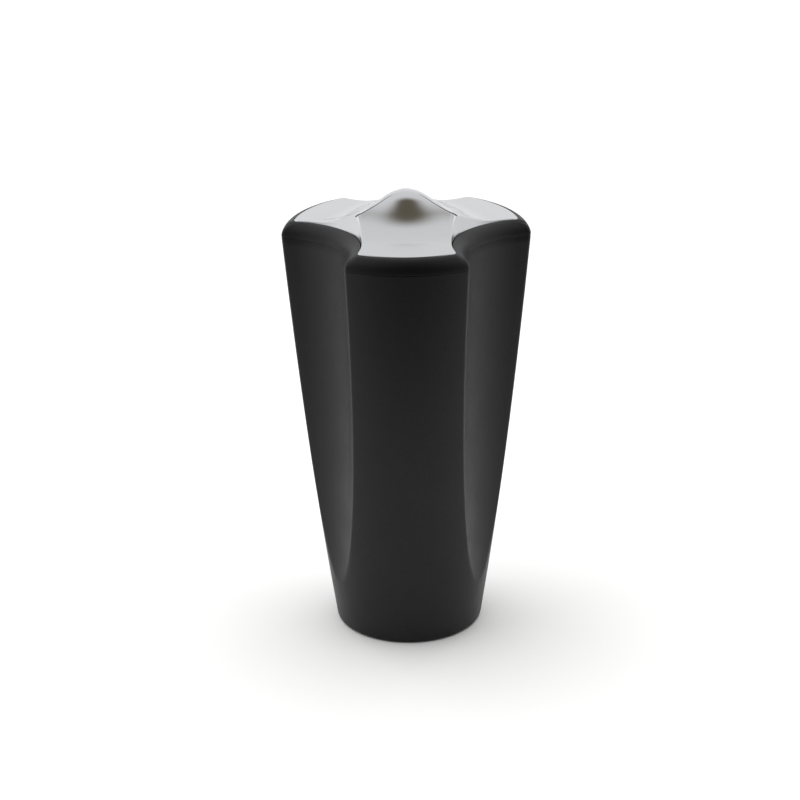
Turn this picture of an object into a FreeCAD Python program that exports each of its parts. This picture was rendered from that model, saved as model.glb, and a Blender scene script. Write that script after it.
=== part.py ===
"""Tap knob: a three-lobed black grip that widens upward, a peaked silver cap and a threaded insert.

The origin is the centre of the small end's face, +Z runs along the knob towards the cap, and one
lobe faces -Y. All sizes are in millimetres.
"""

import FreeCAD, Part
import math
import os

import Sketcher

SIZES = {
    # Outside of the grip
    "rim_height": 77.5,
    "rim_radius": 22.7,
    "foot_radius": 13.7,
    "side_bow": 0.64,
    "foot_edge": 0.7,
    "rim_roll": 2.5,
    "lobe_edge": 0.7,
    # The three flutes: a round scoop whose floor is slightly hollow from top to bottom
    "flute_radius": 16.4,
    "flute_floor": 14.0,
    "flute_waist": 51.0,
    "flute_sweep": 750.0,
    # The cap and the seat that it drops into
    "rim_width": 2.4,
    "flute_rim_width": 2.4,
    "scoop_radius": 16.0,
    "cap_clearance": 0.1,
    "seat_depth": 2.0,
    "peak_height": 6.3,
    "peak_round": 5.0,
    "flank_angle": 34.5,
    "flank_sweep": 10.0,
    "brow_rise": 0.53,
    "brow_angle": 2.0,
    "cap_wall": 1.7,
    # Snap legs under the cap, and the notches that they click into
    "leg_width": 6.0,
    "leg_thickness": 1.4,
    "hook_reach": 0.9,
    "hook_height": 1.6,
    "leg_clearance": 0.2,
    "ledge_width": 1.6,
    "ledge_thickness": 2.0,
    # Hollow inside of the grip
    "wall": 3.4,
    "flute_wall": 3.9,
    "floor_thickness": 3.5,
    "boss_wall": 2.2,
    "boss_roof": 2.0,
    "rib_thickness": 1.6,
    "rib_height": 20.0,
    # Threaded insert for the tap's stem (3/8 in, 16 threads to the inch)
    "insert_radius": 6.3,
    "insert_length": 16.0,
    "insert_clearance": 0.02,
    "insert_groove_width": 2.4,
    "insert_groove_depth": 0.8,
    "knurl_depth": 0.35,
    "thread_radius": 3.97,
    "thread_major_radius": 4.76,
    "stem_relief": 6.0,
    "stem_clearance": 0.2,
    # How far a cutting profile reaches past the surface that it cuts
    "overcut": 1.0,
}
LOBES = 3
KNURLS = 30
SKETCH_PLANES = {"XY": "XY_Plane", "XZ": "XZ_Plane", "YZ": "YZ_Plane"}
SAME_HEIGHT = 1e-4

# Sizes that several pieces share, as expressions on the sheet
CAP_RADIUS = "(sizes.rim_radius - sizes.rim_width)"
SCOOP_CENTRE = "(sizes.flute_floor - sizes.flute_rim_width + sizes.scoop_radius)"
MOUTH_RADIUS = f"({CAP_RADIUS} - sizes.ledge_width)"
SEAT = "(sizes.rim_height - sizes.seat_depth)"
LEDGE_FOOT = f"({SEAT} - sizes.ledge_thickness)"
LEG_FACE = (
    f"sqrt(({MOUTH_RADIUS} - sizes.leg_clearance)^2 - (sizes.leg_width / 2)^2)"
)

# The side view of one face of the cap, from the peak outwards
PEAK = "(sizes.rim_height + sizes.peak_height)"
NOSE_OUT = "(sizes.peak_round * sin(sizes.flank_angle))"
NOSE_UP = f"({PEAK} - sizes.peak_round * (1 - cos(sizes.flank_angle)))"
SWEEP_UP = "(sizes.rim_height + sizes.brow_rise)"
FLANK_UP = (
    f"({SWEEP_UP} + sizes.flank_sweep * (cos(sizes.brow_angle) - cos(sizes.flank_angle)))"
)
FLANK_OUT = f"({NOSE_OUT} + ({NOSE_UP} - {FLANK_UP}) / tan(sizes.flank_angle))"
SWEEP_OUT = (
    f"({FLANK_OUT} + sizes.flank_sweep * (sin(sizes.flank_angle) - sin(sizes.brow_angle)))"
)
BROW_OUT = "(sizes.rim_radius + sizes.overcut)"
BROW_UP = f"({SWEEP_UP} - ({BROW_OUT} - {SWEEP_OUT}) * tan(sizes.brow_angle))"

doc = FreeCAD.newDocument("tap_knob")
sheet = doc.addObject("Spreadsheet::Sheet", "sizes")
for row, (alias, value) in enumerate(SIZES.items(), start=1):
    sheet.set(f"A{row}", alias)
    sheet.set(f"B{row}", str(value))
    sheet.setAlias(f"B{row}", alias)
doc.recompute()


def new_body(label):
    """A body for one piece, at the knob's origin."""
    body = doc.addObject("PartDesign::Body", label)
    body.Label = label
    body.Placement = FreeCAD.Placement()
    return body


def origin_feature(body, role):
    """One of the body's own origin planes or axes."""
    return next(f for f in body.Origin.OriginFeatures if f.Role == role)


def new_sketch(body, name, plane="XY", offset=None):
    """A sketch on one of the body's origin planes, lifted off it by the expression offset."""
    sketch = body.newObject("Sketcher::SketchObject", name)
    sketch.AttachmentSupport = (origin_feature(body, SKETCH_PLANES[plane]), [""])
    sketch.MapMode = "FlatFace"
    if offset:
        sketch.setExpression("AttachmentOffset.Base.z", offset)
    return sketch


def bind(sketch, constraint, expression):
    """Adds a constraint and ties its value to the sheet."""
    index = sketch.addConstraint(constraint)
    sketch.setExpression(f"Constraints[{index}]", expression)


def place_point(sketch, geometry, point, across, up):
    """Ties one point of a sketch to the sheet, measured from the sketch's origin."""
    at = [float(sketch.evalExpression(e)) for e in (across, up)]
    bind(sketch, Sketcher.Constraint("DistanceX", -1, 1, geometry, point, at[0]), across)
    bind(sketch, Sketcher.Constraint("DistanceY", -1, 1, geometry, point, at[1]), up)


def add_circle(sketch, across, up, radius):
    """A full circle with its centre and radius tied to the sheet."""
    x, y, r = (float(sketch.evalExpression(e)) for e in (across, up, radius))
    circle = sketch.addGeometry(
        Part.Circle(FreeCAD.Vector(x, y, 0), FreeCAD.Vector(0, 0, 1), r), False
    )
    place_point(sketch, circle, 3, across, up)
    bind(sketch, Sketcher.Constraint("Radius", circle, r), radius)


def add_polygon(sketch, corners):
    """A closed outline of straight lines through corners, each a pair of expressions."""
    at = [
        FreeCAD.Vector(*(float(sketch.evalExpression(e)) for e in corner), 0)
        for corner in corners
    ]
    lines = []
    for start, end in zip(at, at[1:] + at[:1]):
        lines.append(sketch.addGeometry(Part.LineSegment(start, end), False))
    for line, following in zip(lines, lines[1:] + lines[:1]):
        sketch.addConstraint(Sketcher.Constraint("Coincident", line, 2, following, 1))
    for line, corner in zip(lines, corners):
        place_point(sketch, line, 1, *corner)


def add_feature(body, kind, name, sketch, **settings):
    """A sketch-based feature; a setting that is text is an expression."""
    feature = body.newObject(f"PartDesign::{kind}", name)
    feature.Profile = sketch
    for key, value in settings.items():
        if isinstance(value, str) and key != "Type":
            feature.setExpression(key, value)
        else:
            setattr(feature, key, value)
    doc.recompute()
    return feature


def turn_copies(body, name, features, count):
    """Repeats features evenly round the knob's axis."""
    pattern = body.newObject("PartDesign::PolarPattern", name)
    pattern.Originals = features
    pattern.Axis = (origin_feature(body, "Z_Axis"), [""])
    pattern.Angle = 360
    pattern.Occurrences = count
    body.Tip = pattern
    doc.recompute()
    return pattern


def round_edges(body, name, base, edges, radius):
    """Rounds the numbered edges of the feature base."""
    fillet = body.newObject("PartDesign::Fillet", name)
    fillet.Base = (base, [f"Edge{number}" for number in edges])
    fillet.setExpression("Radius", radius)
    body.Tip = fillet
    doc.recompute()
    return fillet


def edges_where(shape, test):
    """Numbers of the edges of a shape that pass a test on the edge."""
    return [n for n, edge in enumerate(shape.Edges, start=1) if test(edge)]


def lies_at(edge, height):
    """Whether the whole edge lies at one height."""
    box = edge.BoundBox
    return max(abs(box.ZMin - height), abs(box.ZMax - height)) < SAME_HEIGHT


def is_flute_edge(edge):
    """Whether an edge is the long one between a flute and a lobe, which stops short of the foot."""
    box = edge.BoundBox
    return box.ZMin > SAME_HEIGHT and box.ZLength > SIZES["rim_height"] / 2


def side_expression(height):
    """Outer radius of the grip's cone at a height, without the bow."""
    slope = "(sizes.rim_radius - sizes.foot_radius) / sizes.rim_height"
    return f"sizes.foot_radius + ({slope}) * ({height})"


def make_outside(body):
    """The turned outside of the grip: a flat foot and a slightly bowed cone."""
    sketch = new_sketch(body, "side_profile", "XZ")
    foot, rim, height, bow = (
        SIZES[k] for k in ("foot_radius", "rim_radius", "rim_height", "side_bow")
    )
    start, end = FreeCAD.Vector(foot, 0, 0), FreeCAD.Vector(rim, height, 0)
    chord = end - start
    out = FreeCAD.Vector(chord.y, -chord.x, 0).normalize()
    middle = (start + end) * 0.5 + out * bow
    floor_line = sketch.addGeometry(Part.LineSegment(FreeCAD.Vector(), start), False)
    side = sketch.addGeometry(Part.Arc(start, middle, end), False)
    top_line = sketch.addGeometry(
        Part.LineSegment(end, FreeCAD.Vector(0, height, 0)), False
    )
    axis_line = sketch.addGeometry(
        Part.LineSegment(FreeCAD.Vector(0, height, 0), FreeCAD.Vector()), False
    )
    sketch.addConstraint(Sketcher.Constraint("Coincident", floor_line, 2, side, 1))
    sketch.addConstraint(Sketcher.Constraint("Coincident", side, 2, top_line, 1))
    sketch.addConstraint(Sketcher.Constraint("Coincident", top_line, 2, axis_line, 1))
    sketch.addConstraint(Sketcher.Constraint("Coincident", axis_line, 2, floor_line, 1))
    sketch.addConstraint(Sketcher.Constraint("Coincident", floor_line, 1, -1, 1))
    sketch.addConstraint(Sketcher.Constraint("Vertical", axis_line))
    place_point(sketch, side, 1, "sizes.foot_radius", "0")
    place_point(sketch, side, 2, "sizes.rim_radius", "sizes.rim_height")
    run = "((sizes.rim_radius - sizes.foot_radius)^2 + sizes.rim_height^2)"
    radius = (chord.Length**2) / (8 * bow) + bow / 2
    bind(
        sketch,
        Sketcher.Constraint("Radius", side, radius),
        f"{run} / (8 * sizes.side_bow) + sizes.side_bow / 2",
    )
    return add_feature(
        body,
        "Revolution",
        "cone",
        sketch,
        ReferenceAxis=(sketch, ["V_Axis"]),
        Angle=360,
    )


def cut_flutes(body):
    """Three long scoops between the lobes, each a round bar bent to a very large radius."""
    sketch = new_sketch(body, "flute_section", "XY", "sizes.flute_waist")
    add_circle(
        sketch, "0", "sizes.flute_floor + sizes.flute_radius", "sizes.flute_radius"
    )
    far = SIZES["flute_floor"] + SIZES["flute_sweep"]
    half = SIZES["flute_radius"]
    pivot = sketch.addGeometry(
        Part.LineSegment(FreeCAD.Vector(-half, far, 0), FreeCAD.Vector(half, far, 0)), True
    )
    reach = "sizes.flute_floor + sizes.flute_sweep"
    place_point(sketch, pivot, 1, "-sizes.flute_radius", reach)
    place_point(sketch, pivot, 2, "sizes.flute_radius", reach)
    groove = add_feature(
        body,
        "Groove",
        "flute",
        sketch,
        ReferenceAxis=(sketch, ["Axis0"]),
        Angle="2 * atan(sizes.rim_height / sizes.flute_sweep)",
        Midplane=True,
    )
    return turn_copies(body, "flutes", [groove], LOBES)


def make_hollow(body):
    """The shape of the empty space inside the grip, under the cap's seat."""
    sketch = new_sketch(body, "hollow_profile", "XZ")
    floor_edge = side_expression("sizes.floor_thickness") + " - sizes.wall"
    add_polygon(
        sketch,
        [
            ("0", "sizes.floor_thickness"),
            (floor_edge, "sizes.floor_thickness"),
            (MOUTH_RADIUS, LEDGE_FOOT),
            (MOUTH_RADIUS, "sizes.rim_height"),
            ("0", "sizes.rim_height"),
        ],
    )
    add_feature(
        body, "Revolution", "hollow_cone", sketch,
        ReferenceAxis=(sketch, ["V_Axis"]), Angle=360,
    )
    scoop = new_sketch(body, "hollow_flute", "XY")
    add_circle(
        scoop,
        "0",
        "sizes.flute_floor + sizes.flute_radius",
        "sizes.flute_radius + sizes.flute_wall",
    )
    cut = add_feature(
        body, "Pocket", "hollow_flute_cut", scoop, Type=1, Midplane=True
    )
    return turn_copies(body, "hollow_flutes", [cut], LOBES)


def make_cap_outline(body, grow, bottom, height):
    """A plate with the cap's three-lobed outline, larger all round by the expression grow."""
    disc = new_sketch(body, "outline_disc", "XY", bottom)
    add_circle(disc, "0", "0", f"{CAP_RADIUS} + {grow}")
    add_feature(body, "Pad", "outline_plate", disc, Length=height)
    scoop = new_sketch(body, "outline_scoop", "XY", bottom)
    add_circle(scoop, "0", SCOOP_CENTRE, f"sizes.scoop_radius - {grow}")
    cut = add_feature(
        body, "Pocket", "outline_scoop_cut", scoop, Type=0, Reversed=True, Length=height
    )
    return turn_copies(body, "outline_scoops", [cut], LOBES)


def subtract(body, name, tool):
    """Takes the space of another body out of this one."""
    boolean = body.newObject("PartDesign::Boolean", name)
    boolean.Type = "Cut"
    boolean.addObject(tool)
    body.Tip = boolean
    doc.recompute()
    return boolean


def make_grip():
    """The black moulding: outside, hollow, cap seat, snap notches, central boss and ribs."""
    seat = new_body("cap_seat_space")
    make_cap_outline(seat, "sizes.cap_clearance", SEAT, "sizes.seat_depth + sizes.overcut")
    hollow = new_body("hollow_space")
    make_hollow(hollow)

    body = new_body("grip_body")
    make_outside(body)
    shaped = cut_flutes(body)
    long_edges = edges_where(shaped.Shape, is_flute_edge)
    softened = round_edges(body, "lobe_edges", shaped, long_edges, "sizes.lobe_edge")
    top_edges = edges_where(softened.Shape, lambda e: lies_at(e, SIZES["rim_height"]))
    rolled = round_edges(body, "rim_rolls", softened, top_edges, "sizes.rim_roll")
    foot_edges = edges_where(rolled.Shape, lambda e: lies_at(e, 0.0))
    round_edges(body, "foot_round", rolled, foot_edges, "sizes.foot_edge")
    subtract(body, "hollow", hollow)
    subtract(body, "cap_seat", seat)
    add_boss_and_ribs(body)
    cut_notches(body)
    cut_stem_hole(body)
    return body


def add_boss_and_ribs(body):
    """A central tube that carries the insert, tied to the flutes' walls by three ribs."""
    boss_radius = "sizes.insert_radius + sizes.insert_clearance + sizes.boss_wall"
    boss = new_sketch(body, "boss_circle", "XY", "sizes.floor_thickness / 2")
    add_circle(boss, "0", "0", boss_radius)
    top = "sizes.insert_length + sizes.stem_relief + sizes.boss_roof"
    add_feature(body, "Pad", "boss", boss, Length=f"{top} - sizes.floor_thickness / 2")
    rib = new_sketch(body, "rib_outline", "XY", "sizes.floor_thickness / 2")
    inner = "sizes.insert_radius + sizes.boss_wall / 2"
    outer = "sizes.flute_floor - sizes.flute_wall / 2"
    half = "sizes.rib_thickness / 2"
    add_polygon(
        rib,
        [
            (f"-{half}", inner),
            (half, inner),
            (half, outer),
            (f"-{half}", outer),
        ],
    )
    pad = add_feature(
        body, "Pad", "rib", rib, Length="sizes.rib_height - sizes.floor_thickness / 2"
    )
    return turn_copies(body, "ribs", [pad], LOBES)


def cut_notches(body):
    """Blind notches under the seat's ledge, one in each lobe, for the hooks of the cap's legs."""
    notch = new_sketch(body, "notch_outline", "YZ")
    back = f"-({LEG_FACE} - sizes.leg_thickness)"
    front = f"-({LEG_FACE} + sizes.hook_reach + sizes.leg_clearance)"
    bottom = f"{LEDGE_FOOT} - sizes.hook_height - 2 * sizes.leg_clearance"
    corners = [(back, bottom), (front, bottom), (front, LEDGE_FOOT), (back, LEDGE_FOOT)]
    add_polygon(notch, corners)
    cut = add_feature(
        body,
        "Pocket",
        "notch",
        notch,
        Type=0,
        Midplane=True,
        Length="sizes.leg_width + 2 * sizes.leg_clearance",
    )
    return turn_copies(body, "notches", [cut], LOBES)


def cut_stem_hole(body):
    """The hole for the insert from the small end, and room above it for the stem's tip."""
    hole = new_sketch(body, "insert_hole_circle", "XY")
    add_circle(hole, "0", "0", "sizes.insert_radius + sizes.insert_clearance")
    add_feature(
        body, "Pocket", "insert_hole", hole, Type=0, Reversed=True,
        Length="sizes.insert_length",
    )
    relief = new_sketch(body, "stem_relief_circle", "XY")
    add_circle(relief, "0", "0", "sizes.thread_major_radius + sizes.stem_clearance")
    return add_feature(
        body, "Pocket", "stem_relief_hole", relief, Type=0, Reversed=True,
        Length="sizes.insert_length + sizes.stem_relief",
    )


def make_insert():
    """The brass insert: two knurled bands with a groove between them and a threaded bore."""
    body = new_body("threaded_insert")
    disc = new_sketch(body, "insert_circle", "XY")
    add_circle(disc, "0", "0", "sizes.insert_radius")
    add_feature(body, "Pad", "insert_blank", disc, Length="sizes.insert_length")
    groove = new_sketch(body, "groove_section", "XZ")
    low = "(sizes.insert_length - sizes.insert_groove_width) / 2"
    high = "(sizes.insert_length + sizes.insert_groove_width) / 2"
    floor = "sizes.insert_radius - sizes.insert_groove_depth"
    clear = "sizes.insert_radius + sizes.overcut"
    add_polygon(groove, [(floor, low), (clear, low), (clear, high), (floor, high)])
    add_feature(
        body, "Groove", "band_groove", groove, ReferenceAxis=(groove, ["V_Axis"]), Angle=360
    )
    notch = new_sketch(body, "knurl_section", "XY")
    half = "sizes.knurl_depth + sizes.overcut"
    add_polygon(
        notch,
        [("0", "sizes.insert_radius - sizes.knurl_depth"), (half, clear), (f"-({half})", clear)],
    )
    knurl = add_feature(
        body, "Pocket", "knurl", notch, Type=0, Reversed=True, Length="sizes.insert_length"
    )
    turn_copies(body, "knurls", [knurl], KNURLS)
    bore = new_sketch(body, "bore_circle", "XY")
    add_circle(bore, "0", "0", "sizes.thread_radius")
    add_feature(
        body, "Pocket", "bore", bore, Type=0, Reversed=True, Length="sizes.insert_length"
    )
    return body


def add_arc(sketch, centre, radius, first, last, expression):
    """An arc from angle first to angle last, counter-clockwise, with its radius tied."""
    circle = Part.Circle(centre, FreeCAD.Vector(0, 0, 1), radius)
    arc = Part.ArcOfCircle(circle, math.radians(first), math.radians(last))
    curve = sketch.addGeometry(arc, False)
    bind(sketch, Sketcher.Constraint("Radius", curve, radius), expression)
    return curve


def add_face_profile(sketch):
    """Outline of the air above one face of the cap, seen from the side of its lobe.

    From the peak outwards the face is a round nose, a straight flank, a hollow sweep and a
    nearly level brow.
    """
    corners = [
        ("0", PEAK),
        (f"-{NOSE_OUT}", NOSE_UP),
        (f"-{FLANK_OUT}", FLANK_UP),
        (f"-{SWEEP_OUT}", SWEEP_UP),
        (f"-{BROW_OUT}", BROW_UP),
        (f"-{BROW_OUT}", f"{PEAK} + 2 * sizes.overcut"),
        ("0", f"{PEAK} + 2 * sizes.overcut"),
    ]
    at = [
        FreeCAD.Vector(*(float(sketch.evalExpression(e)) for e in corner), 0)
        for corner in corners
    ]
    nose, sweep = SIZES["peak_round"], SIZES["flank_sweep"]
    flank, brow = SIZES["flank_angle"], SIZES["brow_angle"]
    tilt = math.radians(brow)
    nose_centre = at[0] - FreeCAD.Vector(0, nose, 0)
    sweep_centre = at[3] + FreeCAD.Vector(-math.sin(tilt), math.cos(tilt), 0) * sweep
    ends = [
        (add_arc(sketch, nose_centre, nose, 90, 90 + flank, "sizes.peak_round"), 1, 2),
        (sketch.addGeometry(Part.LineSegment(at[1], at[2]), False), 1, 2),
        (
            add_arc(sketch, sweep_centre, sweep, 270 + brow, 270 + flank, "sizes.flank_sweep"),
            2,
            1,
        ),
    ]
    for start, end in zip(at[3:], at[4:] + at[:1]):
        ends.append((sketch.addGeometry(Part.LineSegment(start, end), False), 1, 2))
    for (curve, _, last), (following, first, _) in zip(ends, ends[1:] + ends[:1]):
        sketch.addConstraint(Sketcher.Constraint("Coincident", curve, last, following, first))
    for (curve, first, _), corner in zip(ends, corners):
        place_point(sketch, curve, first, *corner)


def make_cap():
    """The silver cap: a three-lobed plate with a peaked top, hollow below, on snap legs."""
    body = new_body("top_cap")
    blank = "sizes.seat_depth + sizes.peak_height + sizes.overcut"
    make_cap_outline(body, "0", SEAT, blank)
    air = new_sketch(body, "face_profile", "YZ")
    add_face_profile(air)
    face = add_feature(
        body, "Pocket", "face", air, Type=0, Midplane=True, Length="2 * sizes.rim_radius"
    )
    turn_copies(body, "faces", [face], LOBES)
    hollow_peak(body)
    add_legs(body)
    return body


def hollow_peak(body):
    """Hollows the peak from below, one wall inside the nose, the flank and the sweep."""
    section = new_sketch(body, "peak_hollow_section", "XZ")
    lid = f"({SWEEP_UP} - sizes.cap_wall)"
    roof = f"({PEAK} - sizes.cap_wall)"
    roof_edge = "(sizes.peak_round - sizes.cap_wall) * tan(sizes.flank_angle / 2)"
    slant = "sizes.cap_wall / cos(sizes.flank_angle)"
    lid_edge = f"{FLANK_OUT} + ({FLANK_UP} - {slant} - {lid}) / tan(sizes.flank_angle)"
    add_polygon(
        section,
        [("0", SEAT), (lid_edge, SEAT), (lid_edge, lid), (roof_edge, roof), ("0", roof)],
    )
    add_feature(
        body, "Groove", "peak_hollow", section, ReferenceAxis=(section, ["V_Axis"]), Angle=360
    )


def add_legs(body):
    """Three snap legs that pass through the grip's mouth, with hooks that catch under its ledge."""
    leg = new_sketch(body, "leg_profile", "YZ")
    outer = f"-{LEG_FACE}"
    inner = f"-({LEG_FACE} - sizes.leg_thickness)"
    catch = f"{LEDGE_FOOT} - sizes.leg_clearance"
    tip = f"{catch} - sizes.hook_height"
    root = f"{SEAT} + sizes.seat_depth / 2"
    add_polygon(
        leg,
        [
            (outer, root),
            (outer, catch),
            (f"{outer} - sizes.hook_reach", catch),
            (outer, tip),
            (inner, tip),
            (inner, root),
        ],
    )
    pad = add_feature(
        body, "Pad", "leg", leg, Type=0, Midplane=True, Length="sizes.leg_width"
    )
    turn_copies(body, "legs", [pad], LOBES)


PIECES = [make_grip(), make_cap(), make_insert()]
doc.recompute()

failed = [o.Name for o in doc.Objects if {"Invalid", "Error"} & set(o.State)]
failed += [p.Label for p in PIECES if p.Shape.isNull() or not p.Shape.isValid()]
if failed:
    raise RuntimeError(f"not built: {', '.join(failed)}")

os.makedirs("parts", exist_ok=True)
for piece in PIECES:
    piece.Shape.exportStep(f"parts/{piece.Label}.step")
    print(f"{piece.Label}: {piece.Shape.Volume / 1000:.2f} cm3, {len(piece.Shape.Faces)} faces")
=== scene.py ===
"""Looks of the tap knob: a black three-lobed grip, a satin silver cap and a brass insert.

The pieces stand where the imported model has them: the origin is the centre of the narrow end's
face, +Z runs towards the cap and one lobe faces -Y, where the camera is. All sizes are in metres.
"""

import logging
import math
from collections.abc import Callable
from dataclasses import dataclass
from enum import Enum

import bmesh
import bpy
from mathutils import Matrix, Vector


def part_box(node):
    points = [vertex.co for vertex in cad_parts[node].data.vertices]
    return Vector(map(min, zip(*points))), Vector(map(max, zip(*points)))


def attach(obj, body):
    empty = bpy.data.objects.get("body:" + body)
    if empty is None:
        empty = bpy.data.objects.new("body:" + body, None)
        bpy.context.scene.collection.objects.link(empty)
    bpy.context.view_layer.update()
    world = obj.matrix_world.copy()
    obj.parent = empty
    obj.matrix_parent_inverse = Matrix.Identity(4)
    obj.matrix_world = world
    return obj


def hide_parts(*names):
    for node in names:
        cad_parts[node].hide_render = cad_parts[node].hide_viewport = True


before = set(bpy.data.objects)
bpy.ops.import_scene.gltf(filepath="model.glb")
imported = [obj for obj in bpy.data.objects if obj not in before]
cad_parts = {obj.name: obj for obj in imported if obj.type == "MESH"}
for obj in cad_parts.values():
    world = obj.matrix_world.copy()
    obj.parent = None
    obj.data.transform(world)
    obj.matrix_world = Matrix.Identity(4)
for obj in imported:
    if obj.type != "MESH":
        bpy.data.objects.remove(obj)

LOG = logging.getLogger("tap_knob")
MM = 0.001
LOBES = 3
SECTOR = 2 * math.pi / LOBES
HALF_SECTOR = SECTOR / 2
FRONT = -math.pi / 2
HALVINGS = 40
PLACE_LAYER = "place"

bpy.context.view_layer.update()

Spot = tuple[float, float]  # a radius and a height
Pair = tuple[float, float]  # the two ends of a range
Colour = tuple[float, float, float]


class Slot(Enum):
    """The material slots of the knob's three pieces."""

    GRIP = "grip"
    CAP = "cap"
    INSERT = "insert"


def smoothstep(low: float, high: float, value: float) -> float:
    """Eases from 0 to 1.

    Args:
        low: Value up to which the result is 0.
        high: Value from which the result is 1.
        value: The value to ease.

    Returns:
        A number from 0 to 1.
    """
    share = min(1.0, max(0.0, (value - low) / (high - low)))
    return share * share * (3 - 2 * share)


def spaced(start: float, end: float, steps: int) -> list[float]:
    """Evenly spaced values.

    Args:
        start: First value, which is left out.
        end: Last value, which is kept.
        steps: How many values to give.

    Returns:
        The values from just after start up to end.
    """
    return [start + (end - start) * (n + 1) / steps for n in range(steps)]


def soft_lowest(first: float, second: float, blend: float) -> float:
    """The lower of two heights, with the crease between them rounded off.

    Args:
        first: One height.
        second: The other height.
        blend: Difference of height over which the two flow together.

    Returns:
        The blended height, never above the lower one.
    """
    share = max(blend - abs(first - second), 0.0) / blend
    return min(first, second) - share * share * blend / 4


def crossing(low: float, high: float, past: Callable[[float], bool]) -> float:
    """Finds by halving where a test begins to hold.

    Args:
        low: A value at which it doesn't hold yet.
        high: A value at which it holds.
        past: The test.

    Returns:
        The least value at which it holds.
    """
    for _ in range(HALVINGS):
        middle = (low + high) / 2
        if past(middle):
            high = middle
        else:
            low = middle
    return high


def polar(radius: float, angle: float, height: float) -> Vector:
    """The point at a distance from the axis, an angle round it and a height."""
    return Vector((radius * math.cos(angle), radius * math.sin(angle), height))


@dataclass(frozen=True)
class Outline:
    """A circle with three round scoops cut out of it and its corners rounded."""

    outer: float
    scoop_radius: float
    scoop_centre: float
    corner: float

    def corner_span(self) -> Pair:
        """Where a corner's rounding lies.

        Returns:
            Its first and last angle, measured from the middle of the scoop; both are 0 where the
            scoop doesn't reach the circle.
        """
        reach = self.outer - self.corner
        gap = self.scoop_radius + self.corner
        cosine = (reach**2 + self.scoop_centre**2 - gap**2) / (2 * reach * self.scoop_centre)
        if cosine >= 1:
            return 0.0, 0.0
        turn = math.acos(cosine)
        centre = Vector((reach * math.cos(turn), reach * math.sin(turn)))
        touch = centre + (Vector((self.scoop_centre, 0)) - centre) * (self.corner / gap)
        return math.atan2(touch.y, touch.x), turn

    def radius(self, turn: float) -> float:
        """Distance from the axis to the outline.

        Args:
            turn: Angle from the middle of the nearest scoop.

        Returns:
            The outline's radius in that direction.
        """
        first, last = self.corner_span()
        if turn >= last:
            return self.outer
        if turn <= first:
            side = self.scoop_centre * math.sin(turn)
            return self.scoop_centre * math.cos(turn) - math.sqrt(self.scoop_radius**2 - side**2)
        reach = self.outer - self.corner
        side = reach * math.sin(turn - last)
        return reach * math.cos(turn - last) + math.sqrt(max(self.corner**2 - side**2, 0.0))

    def inset(self, depth: float, corner: float) -> "Outline":
        """The outline moved inwards.

        Args:
            depth: How far inwards.
            corner: The new outline's corner rounding.

        Returns:
            The new outline.
        """
        return Outline(self.outer - depth, self.scoop_radius + depth, self.scoop_centre, corner)


@dataclass(frozen=True)
class Spread:
    """How the points of a ring are shared out between a lobe's middle and a scoop's middle."""

    lobe: int
    corner: int
    scoop: int

    def even(self) -> list[float]:
        """Evenly spaced angles, from half a sector at the lobe's middle down to 0."""
        count = self.lobe + self.corner + self.scoop
        return [HALF_SECTOR, *spaced(HALF_SECTOR, 0.0, count)]

    def turns(self, outline: Outline, gather: float = 1.0) -> list[float]:
        """Angles of the points from the middle of the scoop, starting at the lobe's middle.

        Args:
            outline: The outline that the points lie on.
            gather: 1 to gather points on the corner's rounding, 0 to space them evenly.

        Returns:
            The angles, from half a sector down to 0.
        """
        first, last = outline.corner_span()
        gathered = [HALF_SECTOR]
        gathered += spaced(HALF_SECTOR, last, self.lobe)
        gathered += spaced(last, first, self.corner)
        gathered += spaced(first, 0.0, self.scoop)
        return [g * gather + e * (1 - gather) for g, e in zip(gathered, self.even())]


def ring(turns: list[float], place: Callable[[float], Spot]) -> list[Vector]:
    """A closed ring of points with the knob's threefold symmetry.

    Args:
        turns: Angles from the middle of a scoop, from a lobe's middle to the scoop's middle.
        place: Gives the radius and the height at such an angle.

    Returns:
        The ring's points, anticlockwise from the middle of the front lobe.
    """
    spots = [(turn, *place(turn)) for turn in turns]
    points = []
    for lobe in range(LOBES):
        scoop = FRONT + lobe * SECTOR + HALF_SECTOR
        points += [polar(radius, scoop - turn, height) for turn, radius, height in spots[:-1]]
        points += [polar(radius, scoop + turn, height) for turn, radius, height in spots[:0:-1]]
    return points


def level_ring(turns: list[float], outline: Outline, height: float) -> list[Vector]:
    """A ring that follows an outline at one height."""
    return ring(turns, lambda turn: (outline.radius(turn), height))


def round_rings(turns: list[float], spots: list[Spot]) -> list[list[Vector]]:
    """Circular rings.

    Args:
        turns: The angles of the points, as for ring.
        spots: Radius and height of each circle.

    Returns:
        One ring for each circle, in the same order.
    """
    return [ring(turns, lambda _, spot=spot: spot) for spot in spots]


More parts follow.
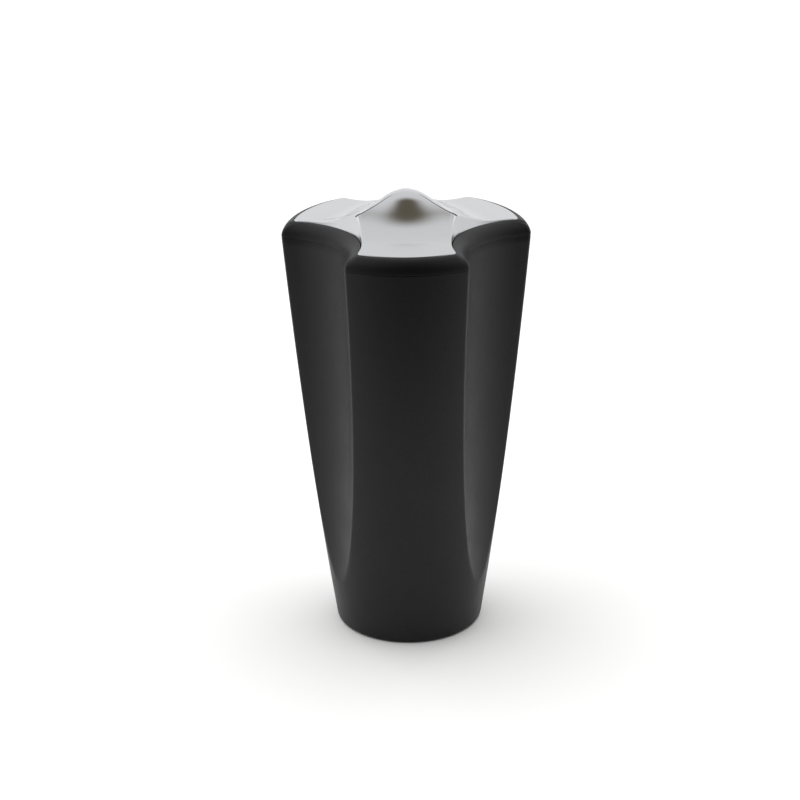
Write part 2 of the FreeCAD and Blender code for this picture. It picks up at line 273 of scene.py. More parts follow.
def skin(rings: list[list[Vector]]) -> bmesh.types.BMesh:
    """A closed surface through rings of equal count, with a flat face on the first and last.

    Args:
        rings: The rings in order, each anticlockwise from the same side.

    Returns:
        The surface as a new bmesh with its faces outwards.
    """
    bm = bmesh.new()
    bmesh.ops.create_circle(bm, cap_ends=True, segments=len(rings[0]), radius=1.0)
    bm.verts.ensure_lookup_table()
    place = bm.verts.layers.int.new(PLACE_LAYER)
    start = sorted(bm.verts, key=lambda v: math.atan2(v.co.y, v.co.x) % (2 * math.pi))
    for number, vert in enumerate(start):
        vert[place] = number
        vert.co = rings[0][number]
    edges = list(bm.edges)
    for points in rings[1:]:
        made = bmesh.ops.extrude_edge_only(bm, edges=edges)["geom"]
        new = {item for item in made if isinstance(item, bmesh.types.BMVert)}
        for vert in new:
            vert.co = points[vert[place]]
        lines = [item for item in made if isinstance(item, bmesh.types.BMEdge)]
        edges = [line for line in lines if new.issuperset(line.verts)]
    bmesh.ops.contextual_create(bm, geom=edges)
    bmesh.ops.recalc_face_normals(bm, faces=bm.faces)
    return bm


def tube(rings: list[list[Vector]]) -> bmesh.types.BMesh:
    """A closed tube wall: a surface through rings whose last ring joins the first.

    Args:
        rings: The rings in order, once round the wall's section.

    Returns:
        The surface as a new bmesh with its faces outwards.
    """
    bm = skin(rings)
    ends = [face for face in bm.faces if len(face.verts) == len(rings[0])]
    bmesh.ops.delete(bm, geom=ends, context="FACES_ONLY")
    loose = [edge for edge in bm.edges if edge.is_boundary]
    bmesh.ops.bridge_loops(bm, edges=loose)
    bmesh.ops.recalc_face_normals(bm, faces=bm.faces)
    return bm


def finish_piece(
    name: str, bm: bmesh.types.BMesh, material: bpy.types.Material, node: str,
    crease: float,
) -> None:
    """Turns a bmesh into a piece of the knob that stands for one node of the model.

    Args:
        name: The piece's name.
        bm: Its surface, which is freed.
        material: Its finish.
        node: The node that it stands for.
        crease: Angle from which an edge stays sharp.
    """
    mesh = bpy.data.meshes.new(name)
    bm.to_mesh(mesh)
    bm.free()
    mesh.attributes.remove(mesh.attributes[PLACE_LAYER])
    mesh.shade_smooth()
    mesh.set_sharp_from_angle(angle=crease)
    mesh.materials.append(material)
    piece = bpy.data.objects.new(name, mesh)
    bpy.context.scene.collection.objects.link(piece)
    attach(piece, "root")
    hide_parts(node)
    LOG.info("%s: %d faces, for %s", name, len(mesh.polygons), node)


class Nodes:
    """A short way to place and link shader nodes in one tree."""

    def __init__(self, tree: bpy.types.NodeTree) -> None:
        """Takes the tree to fill."""
        self.tree = tree

    def add(self, kind: str, **values: object) -> bpy.types.Node:
        """Adds a node.

        Args:
            kind: The node's type, without the leading ShaderNode.
            **values: Node properties, or input sockets by name with _ for a space; a socket
                as the value is linked, anything else is set.

        Returns:
            The new node.
        """
        node = self.tree.nodes.new(f"ShaderNode{kind}")
        for key, value in values.items():
            if hasattr(node, key):
                setattr(node, key, value)
            else:
                self.feed(node.inputs[key.replace("_", " ")], value)
        return node

    def feed(self, socket: bpy.types.NodeSocket, value: object) -> None:
        """Links a socket to value if that is a socket too, and sets it otherwise."""
        if isinstance(value, bpy.types.NodeSocket):
            self.tree.links.new(value, socket)
        else:
            socket.default_value = value

    def maths(self, operation: str, *inputs: object) -> bpy.types.NodeSocket:
        """Adds a Math node.

        Args:
            operation: The node's operation.
            *inputs: Its inputs in order, each a socket or a number.

        Returns:
            The result's socket.
        """
        node = self.tree.nodes.new("ShaderNodeMath")
        node.operation = operation
        for socket, value in zip(node.inputs, inputs):
            self.feed(socket, value)
        return node.outputs[0]

    def length(
        self, first: bpy.types.NodeSocket, second: bpy.types.NodeSocket
    ) -> bpy.types.NodeSocket:
        """Adds nodes for the length of a line from its two sides."""
        squares = [self.maths("MULTIPLY", side, side) for side in (first, second)]
        return self.maths("SQRT", self.maths("ADD", *squares))

    def eased(
        self, value: bpy.types.NodeSocket, span: Pair, start: float, end: float
    ) -> bpy.types.NodeSocket:
        """Adds a node that eases from one value to another.

        Args:
            value: What decides how far the step has gone.
            span: Where the step begins and ends.
            start: Result before the step.
            end: Result after the step.

        Returns:
            The result's socket.
        """
        node = self.add(
            "MapRange", interpolation_type="SMOOTHSTEP", Value=value,
            From_Min=span[0], From_Max=span[1], To_Min=start, To_Max=end,
        )
        return node.outputs["Result"]

    def mix(
        self, factor: bpy.types.NodeSocket, first: Colour, second: Colour
    ) -> bpy.types.NodeSocket:
        """Adds a mix of two colours.

        Args:
            factor: Share of the second colour.
            first: Colour at a share of 0.
            second: Colour at a share of 1.

        Returns:
            The mixed colour's socket.
        """
        node = self.add("Mix", data_type="RGBA")
        self.feed(node.inputs["Factor"], factor)
        self.feed(node.inputs["A"], (*first, 1.0))
        self.feed(node.inputs["B"], (*second, 1.0))
        return node.outputs["Result"]


def grain_group(fine_detail: float = 3.0, broad_detail: float = 2.0) -> bpy.types.NodeTree:
    """Builds the fine grain that every finish shares.

    Args:
        fine_detail: Detail of the noise that gives the height.
        broad_detail: Detail of the noise that gives the mottle.

    Returns:
        A node group that gives a Height for bumps and a Mottle mask from 0 to 1.
    """
    tree = bpy.data.node_groups.new("fine_grain", "ShaderNodeTree")
    tree.interface.new_socket("Vector", in_out="INPUT", socket_type="NodeSocketVector")
    sockets = {"Grain": "INPUT", "Patches": "INPUT", "Height": "OUTPUT", "Mottle": "OUTPUT"}
    for name, way in sockets.items():
        tree.interface.new_socket(name, in_out=way, socket_type="NodeSocketFloat")
    nodes = Nodes(tree)
    taken = tree.nodes.new("NodeGroupInput").outputs
    given = tree.nodes.new("NodeGroupOutput").inputs
    for scale, detail, result in (
        ("Grain", fine_detail, "Height"),
        ("Patches", broad_detail, "Mottle"),
    ):
        noise = nodes.add("TexNoise", Vector=taken["Vector"], Scale=taken[scale], Detail=detail)
        nodes.feed(given[result], noise.outputs["Fac"])
    return tree


@dataclass(frozen=True)
class Finish:
    """What the knob's finishes have in common."""

    name: str
    colour: Colour
    roughness: float
    roughness_spread: float
    metallic: float
    grain: float
    patches: float
    bump: float
    bump_height: float

    def base(self, group: bpy.types.NodeTree) -> tuple[bpy.types.Material, Nodes, dict]:
        """Starts the material: a shader with varied roughness and a fine bump.

        Args:
            group: The shared grain.

        Returns:
            The material, a helper on its tree, and by name the nodes that a finish builds on.
        """
        material = bpy.data.materials.new(self.name)
        material.use_nodes = True
        nodes = Nodes(material.node_tree)
        shader = material.node_tree.nodes["Principled BSDF"]
        shader.inputs["Metallic"].default_value = self.metallic
        shader.inputs["Base Color"].default_value = (*self.colour, 1.0)
        where = nodes.add("TexCoord")
        grain = nodes.add("Group", node_tree=group)
        nodes.feed(grain.inputs["Vector"], where.outputs["Object"])
        nodes.feed(grain.inputs["Grain"], self.grain)
        nodes.feed(grain.inputs["Patches"], self.patches)
        rough = nodes.add(
            "MapRange", Value=grain.outputs["Mottle"],
            To_Min=self.roughness - self.roughness_spread,
            To_Max=self.roughness + self.roughness_spread,
        )
        nodes.feed(shader.inputs["Roughness"], rough.outputs["Result"])
        bump = nodes.add(
            "Bump", Strength=self.bump, Distance=self.bump_height, Height=grain.outputs["Height"],
        )
        nodes.feed(shader.inputs["Normal"], bump.outputs["Normal"])
        return material, nodes, {"shader": shader, "grain": grain, "where": where}


@dataclass(frozen=True)
class MattPlastic(Finish):
    """Black plastic with a fine moulded texture."""

    name: str = "matt_black_plastic"
    colour: Colour = (0.0027, 0.0026, 0.003)
    shade_spread: float = 0.4
    roughness: float = 0.45
    roughness_spread: float = 0.05
    metallic: float = 0.0
    grain: float = 4200.0
    patches: float = 160.0
    bump: float = 0.6
    bump_height: float = 0.05 * MM
    ior: float = 1.35

    def material(self, group: bpy.types.NodeTree) -> bpy.types.Material:
        """Builds the material around the shared grain."""
        material, nodes, parts = self.base(group)
        darker = tuple(value * (1 - self.shade_spread) for value in self.colour)
        lighter = tuple(value * (1 + self.shade_spread) for value in self.colour)
        shade = nodes.mix(parts["grain"].outputs["Height"], darker, lighter)
        nodes.feed(parts["shader"].inputs["Base Color"], shade)
        parts["shader"].inputs["IOR"].default_value = self.ior
        return material


@dataclass(frozen=True)
class SatinSilver(Finish):
    """Satin plating, with a painted dark reflection: a fine dark line painted along the three
    ridges of the peak.
    """

    name: str = "satin_silver"
    colour: Colour = (0.54, 0.545, 0.56)
    roughness: float = 0.16
    roughness_spread: float = 0.02
    metallic: float = 1.0
    grain: float = 2600.0
    patches: float = 90.0
    bump: float = 0.05
    bump_height: float = 0.02 * MM
    # Colour of the painted dark reflection along the ridges.
    painted_reflection_colour: Colour = (0.02, 0.024, 0.035)
    line_core: float = math.radians(0.8)
    line_edge: float = math.radians(1.7)
    line_start: float = 2.0 * MM
    line_fade: float = 1.5 * MM
    line_end: float = 10.3 * MM

    def painted_ridge_reflection(self, nodes: Nodes, where: bpy.types.NodeSocket) -> bpy.types.NodeSocket:
        """Marks where a dark reflection is painted along the ridges, which run from the axis
        towards the middle of each flute.

        Args:
            nodes: Helper on the material's tree.
            where: Object coordinates.

        Returns:
            A mask of the painted reflection: 1 on the lines and 0 elsewhere.
        """
        axes = nodes.add("SeparateXYZ", Vector=where)
        x, y = axes.outputs["X"], axes.outputs["Y"]
        angle = nodes.maths("PINGPONG", nodes.maths("ARCTAN2", x, y), HALF_SECTOR)
        radius = nodes.length(x, y)
        line = nodes.eased(angle, (self.line_core, self.line_edge), 1.0, 0.0)
        begun = nodes.eased(radius, (self.line_start, self.line_start + self.line_fade), 0.0, 1.0)
        ended = nodes.maths("LESS_THAN", radius, self.line_end)
        return nodes.maths("MULTIPLY", nodes.maths("MULTIPLY", line, begun), ended)

    def material(self, group: bpy.types.NodeTree) -> bpy.types.Material:
        """Builds the material around the shared grain."""
        material, nodes, parts = self.base(group)
        line = self.painted_ridge_reflection(nodes, parts["where"].outputs["Object"])
        # Paints the ridges' dark reflection into the base colour.
        shade = nodes.mix(line, self.colour, self.painted_reflection_colour)
        nodes.feed(parts["shader"].inputs["Base Color"], shade)
        return material


@dataclass(frozen=True)
class TurnedBrass(Finish):
    """Turned brass, a little tarnished."""

    name: str = "turned_brass"
    colour: Colour = (0.72, 0.52, 0.24)
    roughness: float = 0.3
    roughness_spread: float = 0.06
    metallic: float = 1.0
    grain: float = 2000.0
    patches: float = 300.0
    bump: float = 0.1
    bump_height: float = 0.02 * MM

    def material(self, group: bpy.types.NodeTree) -> bpy.types.Material:
        """Builds the material around the shared grain."""
        return self.base(group)[0]


@dataclass
class Grip:
    """The black moulding: lobes, flutes, rolled rim, cap seat, and the hollow with its boss."""

    height: float
    rim_radius: float = 22.675 * MM
    foot_radius: float = 13.7 * MM
    side_bow: float = 0.64 * MM
    foot_edge: float = 0.7 * MM
    rim_roll: float = 2.5 * MM
    groove_width: float = 0.3 * MM
    groove_depth: float = 0.1 * MM
    lobe_edge: float = 0.7 * MM
    flute_radius: float = 16.4 * MM
    flute_floor: float = 14.0 * MM
    flute_waist: float = 51.0 * MM
    flute_sweep: float = 750.0 * MM
    seat_depth: float = 2.0 * MM
    ledge_width: float = 1.6 * MM
    ledge_thickness: float = 2.0 * MM
    wall: float = 3.4 * MM
    flute_wall: float = 3.9 * MM
    floor_thickness: float = 3.5 * MM
    boss_radius: float = 8.52 * MM
    boss_top: float = 24.0 * MM
    insert_hole: float = 6.32 * MM
    insert_length: float = 16.0 * MM
    stem_room: float = 4.96 * MM
    stem_room_top: float = 22.0 * MM
    crease: float = math.radians(35.0)
    # How the rings and their points are spaced: finely where the flutes run out of the cone.
    spread: Spread = Spread(lobe=14, corner=8, scoop=18)
    end_lead: float = 3.0 * MM
    end_fade: float = 12.0 * MM
    foot_steps: int = 6
    cone_steps: int = 4
    end_steps: int = 30
    flute_steps: int = 44
    roll_steps: int = 18
    seat_steps: int = 3
    hollow_steps: int = 24

    def side(self, height: float) -> float:
        """Radius of the slightly bowed cone at a height."""
        share = height / self.height
        bow = 4 * self.side_bow * share * (1 - share)
        return self.foot_radius + (self.rim_radius - self.foot_radius) * share + bow

    def section(self, height: float) -> Outline:
        """Outline of the outside at a height."""
        from_waist = height - self.flute_waist
        rise = self.flute_sweep - math.sqrt(self.flute_sweep**2 - from_waist**2)
        centre = self.flute_floor + rise + self.flute_radius
        return Outline(self.side(height), self.flute_radius, centre, self.lobe_edge)

    def flute_end(self) -> float:
        """Height at which the flutes run out into the cone."""
        return crossing(0.0, self.flute_waist, lambda h: self.section(h).corner_span()[1] > 0)

    def roll_start(self) -> float:
        """Height where the rim's roll begins, above a fine groove."""
        return self.height - self.rim_roll

    def side_rings(self) -> list[list[Vector]]:
        """Rings of the outside, from the foot's flat face to just below the groove."""
        end = self.flute_end()
        faded = end + self.end_fade
        heights = spaced(self.foot_edge, end - self.end_lead, self.cone_steps)
        heights += spaced(end - self.end_lead, faded, self.end_steps)
        heights += spaced(faded, self.roll_start() - self.groove_width, self.flute_steps)
        spots = []
        for angle in spaced(-math.pi / 2, 0.0, self.foot_steps):
            height = self.foot_edge * (1 + math.sin(angle))
            spots.append((self.side(height) - self.foot_edge * (1 - math.cos(angle)), height))
        rings = round_rings(self.spread.even(), spots)
        for height in heights:
            outline = self.section(height)
            turns = self.spread.turns(outline, smoothstep(end, faded, height))
            rings.append(level_ring(turns, outline, height))
        return rings

    def roll_rings(self, seat: Outline) -> list[list[Vector]]:
        """Rings of the groove and the rolled rim, up to the top edge of the cap's seat.

        Args:
            seat: Outline of the seat.

        Returns:
            The rings, the last one on the seat's edge.
        """
        start, roll, corner = self.roll_start(), self.rim_roll, self.lobe_edge
        base = self.section(start)
        turns = self.spread.turns(base)
        depths = {}
        for turn in turns:
            target = seat.radius(turn)
            depths[turn] = crossing(
                0.0, 2 * roll, lambda d, t=turn, r=target: base.inset(d, corner).radius(t) <= r
            )
        bottom = start - self.groove_width / 2
        groove = self.section(bottom).inset(self.groove_depth, corner)
        rings = [level_ring(turns, groove, bottom)]
        for step in range(self.roll_steps + 1):

            def place(turn: float, share: float = step / self.roll_steps) -> Spot:
                """Spot at a share of the way over the roll and across the flat inside it."""
                arc = roll * math.acos(1 - min(depths[turn], roll) / roll)
                along = share * (arc + max(0.0, depths[turn] - roll))
                angle = min(along, arc) / roll
                inward = roll * (1 - math.cos(angle)) + max(0.0, along - arc)
                height = start + roll * math.sin(angle)
                if share == 1.0:
                    return seat.radius(turn), height
                return base.inset(inward, corner).radius(turn), height

            rings.append(ring(turns, place))
        return rings

    def inner_rings(self, seat: Outline) -> list[list[Vector]]:
        """Rings of the seat, the mouth, the hollow and the boss, ending on the boss's roof."""
        turns = self.spread.turns(seat)
        seat_floor = self.height - self.seat_depth
        ledge_foot = seat_floor - self.ledge_thickness
        mouth = seat.outer - self.ledge_width
        floor_edge = self.side(self.floor_thickness) - self.wall
        scoop_radius = self.flute_radius + self.flute_wall
        scoop_centre = self.flute_floor + self.flute_radius
        rings = []
        for height in spaced(self.height, seat_floor, self.seat_steps):
            rings.append(level_ring(turns, seat, height))
        spots = [(mouth, seat_floor), (mouth, ledge_foot)]
        outers = spaced(mouth, floor_edge, self.hollow_steps)
        spots += zip(outers, spaced(ledge_foot, self.floor_thickness, self.hollow_steps))
        for outer, height in spots:
            shape = Outline(outer, scoop_radius, scoop_centre, self.lobe_edge)
            rings.append(level_ring(turns, shape, height))
        boss = [(self.boss_radius, self.floor_thickness), (self.boss_radius, self.boss_top)]
        return rings + round_rings(turns, boss)

    def hole_rings(self) -> list[list[Vector]]:
        """Rings of the hole for the insert, from the end of the stem's room to the foot's face."""
        spots = [
            (self.stem_room, self.stem_room_top),
            (self.stem_room, self.insert_length),
            (self.insert_hole, self.insert_length),
            (self.insert_hole, 0.0),
            (self.foot_radius - self.foot_edge, 0.0),
        ]
        return round_rings(self.spread.even(), spots)

    def build(self, seat: Outline, material: bpy.types.Material) -> None:
        """Builds the grip.

        Args:
            seat: Outline of the cap's seat.
            material: The grip's finish.
        """
        rings = self.hole_rings() + self.side_rings() + self.roll_rings(seat)
        rings += self.inner_rings(seat)
        finish_piece("grip", skin(rings), material, "grip_body", self.crease)


@dataclass
class Cap:
    """The silver cap: three hollow faces that rise to a rounded peak, on snap legs."""

    rim_height: float
    radius: float = 20.3 * MM
    scoop_radius: float = 16.0 * MM
    scoop_floor: float = 11.6 * MM
    corner: float = 0.9 * MM
    clearance: float = 0.1 * MM
    seat_depth: float = 2.0 * MM
    least_corner: float = 0.05 * MM
    least_round: float = 0.2 * MM
    round_share: float = 0.5
    edge_slope: float = math.radians(66.0)
    edge_tries: int = 8
    peak_height: float = 6.12 * MM
    peak_round: float = 6.2 * MM
    flank_angle: float = math.radians(36.0)
    flank_sweep: float = 15.5 * MM
    brow_rise: float = 0.38 * MM
    brow_angle: float = math.radians(3.6)
    nose: float = 0.62
    nose_reach: float = 9.0 * MM
    nose_power: int = 3
    ridge_round: float = 0.1 * MM
    wall: float = 1.7 * MM
    crease: float = math.radians(28.0)
    # How the rings and their points are spaced: closer together towards the peak, and gathered
    # on the outline's corners only away from it. The sloping rings never coincide.
    spread: Spread = Spread(lobe=16, corner=6, scoop=22)
    crowding: float = 1.25
    gather_span: Pair = (0.3, 0.9)
    face_steps: int = 64
    round_steps: int = 8
    slope_steps: int = 4
    least_slope: float = 0.01 * MM

    def outline(self, grow: float = 0.0) -> Outline:
        """Outline of the cap, or of its seat with the clearance as grow."""
        centre = self.scoop_floor + self.scoop_radius
        return Outline(self.radius + grow, self.scoop_radius - grow, centre, self.corner + grow)

    def seat(self) -> Outline:
        """Outline of the seat that the cap drops into."""
        return self.outline(self.clearance)

    def face_height(self, out: float) -> float:
        """Height of a face above the rim.

        Args:
            out: Distance from the peak along the middle of the face.

        Returns:
            The height of the round nose, the straight flank, the sweep or the brow there.
        """
        sine, cosine = math.sin(self.flank_angle), math.cos(self.flank_angle)
        nose_out = self.peak_round * sine
        nose_up = self.peak_height - self.peak_round * (1 - cosine)
        flank_up = self.brow_rise + self.flank_sweep * (math.cos(self.brow_angle) - cosine)
        flank_out = nose_out + (nose_up - flank_up) / math.tan(self.flank_angle)
        sweep_out = flank_out + self.flank_sweep * (sine - math.sin(self.brow_angle))
        if out <= nose_out:
            return self.peak_height - self.peak_round + math.sqrt(self.peak_round**2 - out**2)
        if out <= flank_out:
            return nose_up - (out - nose_out) * math.tan(self.flank_angle)
        if out <= sweep_out:
            tilt = math.asin(sine - (out - flank_out) / self.flank_sweep)
            return flank_up - self.flank_sweep * (math.cos(tilt) - cosine)
        return self.brow_rise - (out - sweep_out) * math.tan(self.brow_angle)

    def top(self, radius: float, turn: float) -> float:
        """Height of the cap's top.

        Args:
            radius: Distance from the axis.
            turn: Angle from the middle of the nearest scoop.

        Returns:
            The height above the knob's foot.
        """
        swell = self.nose / (1 + (radius / self.nose_reach) ** self.nose_power)
        heights = []
        for angle in (HALF_SECTOR - turn, HALF_SECTOR + turn):
            straight = radius * math.cos(angle)
            out = straight + swell * (radius - straight)
            heights.append(self.face_height(max(out, 0.0)))
        return self.rim_height + soft_lowest(heights[0], heights[1], self.ridge_round)

    def edge_radius(self, turn: float, depth: float) -> float:
        """Distance from the axis to a line that runs inside the outline at a depth."""
        corner = max(self.corner - depth, self.least_corner)
        return self.outline().inset(depth, corner).radius(turn)

    def edge_run(self, turn: float) -> tuple[float, float, float]:
        """Size of the sloping edge, which brings the top down to the rim.

        Args:
            turn: Angle from the middle of the nearest scoop.

        Returns:
            The edge's rounding, its width seen from above, and the length of its slope below the
            rounding.
        """
        sine, cosine = math.sin(self.edge_slope), math.cos(self.edge_slope)
        above = self.top(self.outline().radius(turn), turn) - self.rim_height
        rounding = self.least_round + self.round_share * max(above, 0.0)
        width = rounding * sine
        for _ in range(self.edge_tries):
            above = self.top(self.edge_radius(turn, width), turn) - self.rim_height
            slope = max(0.0, above - rounding * (1 - cosine)) / sine
            width = rounding * sine + slope * cosine
        return rounding, width, slope

    def top_rings(self) -> list[list[Vector]]:
        """Rings of the top, from the peak over the sloping edge to the foot of the side wall."""
        outline = self.outline()
        turns = self.spread.turns(outline)
        runs = {turn: self.edge_run(turn) for turn in turns}
        rings = []
        for step in range(1, self.face_steps + 1):
            share = (step / self.face_steps) ** self.crowding
            shifted = self.spread.turns(outline, smoothstep(*self.gather_span, share))

            def place(turn: float, s: float = share) -> Spot:
                """Spot at a share of the way from the peak to the edge."""
                radius = self.edge_radius(turn, self.edge_run(turn)[1]) * s
                return radius, self.top(radius, turn)

            rings.append(ring(shifted, place))
        for angle in spaced(0.0, self.edge_slope, self.round_steps):

            def rounded(turn: float, a: float = angle) -> Spot:
                """Spot on the edge's rounding, where it has turned down by an angle."""
                rounding, width, _ = runs[turn]
                start = self.edge_radius(turn, width)
                drop = rounding * (1 - math.cos(a))
                inner = width - rounding * math.sin(a)
                return self.edge_radius(turn, inner), self.top(start, turn) - drop

            rings.append(ring(turns, rounded))
        for share in spaced(0.0, 1.0, self.slope_steps):

            def sloping(turn: float, s: float = share) -> Spot:
                """Spot at a share of the way down the edge's slope."""
                rounding, width, slope = runs[turn]
                start = self.edge_radius(turn, width)
                drop = rounding * (1 - math.cos(self.edge_slope)) + s * self.least_slope
                drop += s * slope * math.sin(self.edge_slope)
                inner = (1 - s) * slope * math.cos(self.edge_slope)
                return self.edge_radius(turn, inner), self.top(start, turn) - drop

            rings.append(ring(turns, sloping))
        rings.append(level_ring(turns, outline, self.rim_height - self.seat_depth))
        return rings

    def under_rings(self) -> list[list[Vector]]:
        """Rings of the underside and of the hollow below the peak."""
        foot = self.rim_height - self.seat_depth
        lid = self.rim_height + self.brow_rise - self.wall
        roof = self.rim_height + self.peak_height - self.wall
        roof_edge = (self.peak_round - self.wall) * math.tan(self.flank_angle / 2)
        lid_edge = roof_edge + (roof - lid) / math.tan(self.flank_angle)
        spots = [(lid_edge, foot), (lid_edge, lid), (roof_edge, roof)]
        return round_rings(self.spread.turns(self.outline()), spots)

    def build(self, material: bpy.types.Material) -> None:
        """Builds the cap with its finish."""
        bm = skin(self.top_rings() + self.under_rings())
        finish_piece("cap", bm, material, "top_cap", self.crease)


@dataclass
class Insert:
    """The brass insert: two knurled bands with a groove between them and a threaded bore."""

    radius: float = 6.3 * MM
    length: float = 16.0 * MM
    groove_width: float = 2.4 * MM
    groove_depth: float = 0.8 * MM
    knurl_depth: float = 0.35 * MM
    knurls: int = 30
    knurl_points: int = 4
    crest_radius: float = 3.97 * MM
    root_radius: float = 4.76 * MM
    root_flat: float = 0.1
    flank_gain: float = 2.4
    pitch: float = 25.4 / 16 * MM
    pitch_steps: int = 8
    crease: float = math.radians(25.0)

    def angles(self) -> list[float]:
        """Angles of a ring's points, the same number to each knurl."""
        count = self.knurls * self.knurl_points
        return [FRONT + 2 * math.pi * n / count for n in range(count)]

    def outer(self, height: float, depth: float, knurled: bool) -> list[Vector]:
        """A ring of the outside.

        Args:
            height: Height of the ring.
            depth: How far it lies inside the insert's radius.
            knurled: Whether the notches of the knurls cut into it.

        Returns:
            The ring's points.
        """
        points = []
        for number, angle in enumerate(self.angles()):
            notched = knurled and number % self.knurl_points == 0
            reach = self.radius - depth - (self.knurl_depth if notched else 0.0)
            points.append(polar(reach, angle, height))
        return points

    def inner(self, height: float) -> list[Vector]:
        """A ring of the threaded bore, which opens out at both ends."""
        lead = max(self.root_radius - height, self.root_radius - self.length + height)
        points = []
        for angle in self.angles():
            phase = (height / self.pitch - angle / (2 * math.pi)) % 1.0
            wave = min(1.0, max(0.0, self.flank_gain * abs(phase - 0.5) - self.root_flat))
            reach = self.root_radius - (self.root_radius - self.crest_radius) * wave
            points.append(polar(max(reach, lead), angle, height))
        return points

    def build(self, material: bpy.types.Material) -> None:
        """Builds the insert with its finish."""
        low = (self.length - self.groove_width) / 2
        high = (self.length + self.groove_width) / 2
        edge = self.knurl_depth
        rings = [
            self.outer(0.0, edge, False),
            self.outer(edge, 0.0, True),
            self.outer(low, 0.0, True),
            self.outer(low, self.groove_depth, False),
            self.outer(high, self.groove_depth, False),
            self.outer(high, 0.0, True),
            self.outer(self.length - edge, 0.0, True),
            self.outer(self.length, edge, False),
        ]
        steps = round(self.length / self.pitch * self.pitch_steps)
        rings += [self.inner(self.length * (1 - n / steps)) for n in range(steps + 1)]
        finish_piece("insert", tube(rings), material, "threaded_insert", self.crease)


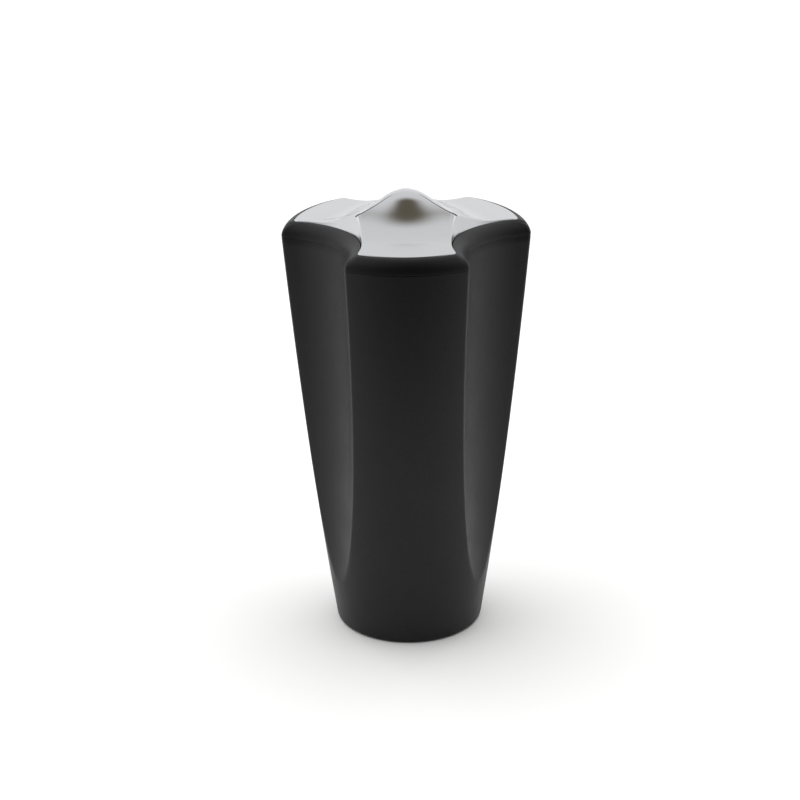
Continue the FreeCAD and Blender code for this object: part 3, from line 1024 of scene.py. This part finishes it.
@dataclass
class Studio:
    """The camera, the pale floor and the soft light around the knob.

    The room is a map of brightness by direction: X to the right, Y away from the camera, Z up,
    each from -1 to 1. The spans say between which values of one axis a step lies.
    """

    # The camera, fitted to the photograph's outline; the target is the pixel it looks at.
    target_height: float = 38.78 * MM
    distance: float = 390.3 * MM
    elevation: float = math.radians(22.16)
    yaw: float = math.radians(0.217)
    roll: float = math.radians(0.478)
    lens: float = 94.5
    sensor: float = 36.0
    near_clip: float = 10.0 * MM
    image_side: float = 800.0
    target_pixel: Pair = (407.79, 423.36)
    # The floor ends just in front of the knob, below the picture's edge.
    floor_side: float = 6.0
    floor_front: float = 0.11
    floor_tone: float = 0.9
    floor_roughness: float = 0.9
    # The room is darker on the camera's side.
    room_level: float = 1.03
    front_level: float = 0.12
    front_span: Pair = (-0.9, 0.1)
    # The dark gap overhead, which the peak mirrors as a round spot.
    gap_colour: Colour = (0.155, 0.135, 0.095)
    gap_depth: float = 1.0
    gap_span: Pair = (0.0, 0.4)
    gap_side: float = 0.02
    gap_core: float = 0.38
    gap_left: float = 0.43
    gap_right: float = 0.5
    gap_full: float = -0.05
    gap_back: float = 0.52
    # The brighter panels on both sides of the gap, and the brighter wall at the left.
    panel_glow: float = 0.45
    panel_side_span: Pair = (0.32, 0.6)
    panel_height_span: Pair = (0.55, 0.75)
    left_glow: float = 0.15
    left_span: Pair = (-0.8, -0.2)
    light_side: float = 0.9
    light_power: float = 6.0
    light_place: tuple[float, float, float] = (-0.06, 0.1, 0.9)

    def camera(self) -> None:
        """Places the camera as the photograph's was."""
        a, e = self.yaw, self.elevation
        right = Vector((math.cos(a), -math.sin(a), 0.0))
        up = Vector((math.sin(e) * math.sin(a), math.sin(e) * math.cos(a), math.cos(e)))
        ahead = Vector((math.cos(e) * math.sin(a), math.cos(e) * math.cos(a), -math.sin(e)))
        across = right * math.cos(self.roll) - up * math.sin(self.roll)
        upright = right * math.sin(self.roll) + up * math.cos(self.roll)
        turn = Matrix((across, upright, -ahead)).transposed().to_4x4()
        spot = Vector((0.0, 0.0, self.target_height)) - ahead * self.distance
        data = bpy.data.cameras.new("camera")
        data.lens = self.lens
        data.sensor_width = self.sensor
        data.clip_start = self.near_clip
        middle = self.image_side / 2
        data.shift_x = (middle - self.target_pixel[0]) / self.image_side
        data.shift_y = (self.target_pixel[1] - middle) / self.image_side
        camera = bpy.data.objects.new("camera", data)
        camera.matrix_world = Matrix.Translation(spot) @ turn
        bpy.context.scene.collection.objects.link(camera)
        bpy.context.scene.camera = camera

    def floor(self) -> None:
        """Lays the plain pale floor."""
        bm = bmesh.new()
        bmesh.ops.create_grid(bm, x_segments=1, y_segments=1, size=self.floor_side / 2)
        back = Vector((0.0, self.floor_side / 2 - self.floor_front, 0.0))
        bmesh.ops.translate(bm, verts=bm.verts, vec=back)
        mesh = bpy.data.meshes.new("floor")
        bm.to_mesh(mesh)
        bm.free()
        material = bpy.data.materials.new("pale_floor")
        material.use_nodes = True
        shader = material.node_tree.nodes["Principled BSDF"]
        tone = self.floor_tone
        shader.inputs["Base Color"].default_value = (tone, tone, tone, 1.0)
        shader.inputs["Roughness"].default_value = self.floor_roughness
        shader.inputs["Specular IOR Level"].default_value = 0.0
        mesh.materials.append(material)
        floor = bpy.data.objects.new("floor", mesh)
        bpy.context.scene.collection.objects.link(floor)

    def gap(self, nodes: Nodes, axes: bpy.types.bpy_prop_collection) -> bpy.types.NodeSocket:
        """Marks the dark gap overhead, round at its back and open towards the camera's side.

        Args:
            nodes: Helper on the world's tree.
            axes: Sockets of the direction's three axes.

        Returns:
            A mask that is 1 in the gap and 0 elsewhere.
        """
        across = nodes.maths("SUBTRACT", axes["X"], self.gap_side)
        leftward = nodes.maths("DIVIDE", across, -self.gap_left)
        across = nodes.maths("MAXIMUM", nodes.maths("DIVIDE", across, self.gap_right), leftward)
        behind = nodes.maths("SUBTRACT", axes["Y"], self.gap_full)
        behind = nodes.maths("DIVIDE", nodes.maths("MAXIMUM", behind, 0.0), self.gap_back)
        inside = nodes.eased(nodes.length(across, behind), (self.gap_core, 1.0), 1.0, 0.0)
        above = nodes.eased(axes["Z"], self.gap_span, 0.0, self.gap_depth)
        return nodes.maths("MULTIPLY", inside, above)

    def brightness(
        self, nodes: Nodes, axes: bpy.types.bpy_prop_collection
    ) -> bpy.types.NodeSocket:
        """Brightness of the room, with its darker front, its panels and its left wall.

        Args:
            nodes: Helper on the world's tree.
            axes: Sockets of the direction's three axes.

        Returns:
            The brightness as a socket.
        """
        depth = nodes.eased(axes["Y"], self.front_span, self.front_level, 1.0)
        aside = nodes.maths("ABSOLUTE", axes["X"])
        panels = nodes.eased(aside, self.panel_side_span, 0.0, self.panel_glow)
        high = nodes.eased(axes["Z"], self.panel_height_span, 0.0, 1.0)
        left = nodes.eased(axes["X"], self.left_span, self.left_glow, 0.0)
        level = nodes.maths("ADD", depth, nodes.maths("MULTIPLY", panels, high))
        return nodes.maths("MULTIPLY", nodes.maths("ADD", level, left), self.room_level)

    def surroundings(self) -> None:
        """Surrounds the knob with a white room: bright panels overhead with a dark gap between."""
        world = bpy.data.worlds.new("studio")
        bpy.context.scene.world = world
        world.use_nodes = True
        nodes = Nodes(world.node_tree)
        background = world.node_tree.nodes["Background"]
        where = nodes.add("TexCoord")
        axes = nodes.add("SeparateXYZ", Vector=where.outputs["Generated"]).outputs
        colour = nodes.mix(self.gap(nodes, axes), (1.0, 1.0, 1.0), self.gap_colour)
        nodes.feed(background.inputs["Color"], colour)
        nodes.feed(background.inputs["Strength"], self.brightness(nodes, axes))

    def soft_light(self) -> None:
        """Hangs a large soft light that the cap doesn't mirror."""
        data = bpy.data.lights.new("overhead", "AREA")
        data.shape = "SQUARE"
        data.size = self.light_side
        data.energy = self.light_power
        light = bpy.data.objects.new("overhead", data)
        light.matrix_world = Matrix.Translation(self.light_place)
        light.visible_glossy = False
        bpy.context.scene.collection.objects.link(light)

    def build(self) -> None:
        """Sets up the whole studio."""
        self.camera()
        self.floor()
        self.surroundings()
        self.soft_light()
        bpy.context.scene.view_settings.view_transform = "Standard"


def main() -> None:
    """Builds the knob's pieces and the studio."""
    logging.basicConfig(level=logging.INFO, format="%(name)s %(message)s")
    group = grain_group()
    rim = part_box("grip_body")[1].z
    cap = Cap(rim_height=rim)
    Grip(height=rim).build(cap.seat(), MattPlastic().material(group))
    cap.build(SatinSilver().material(group))
    Insert().build(TurnedBrass().material(group))
    Studio().build()


if __name__ == "__main__":
    main()
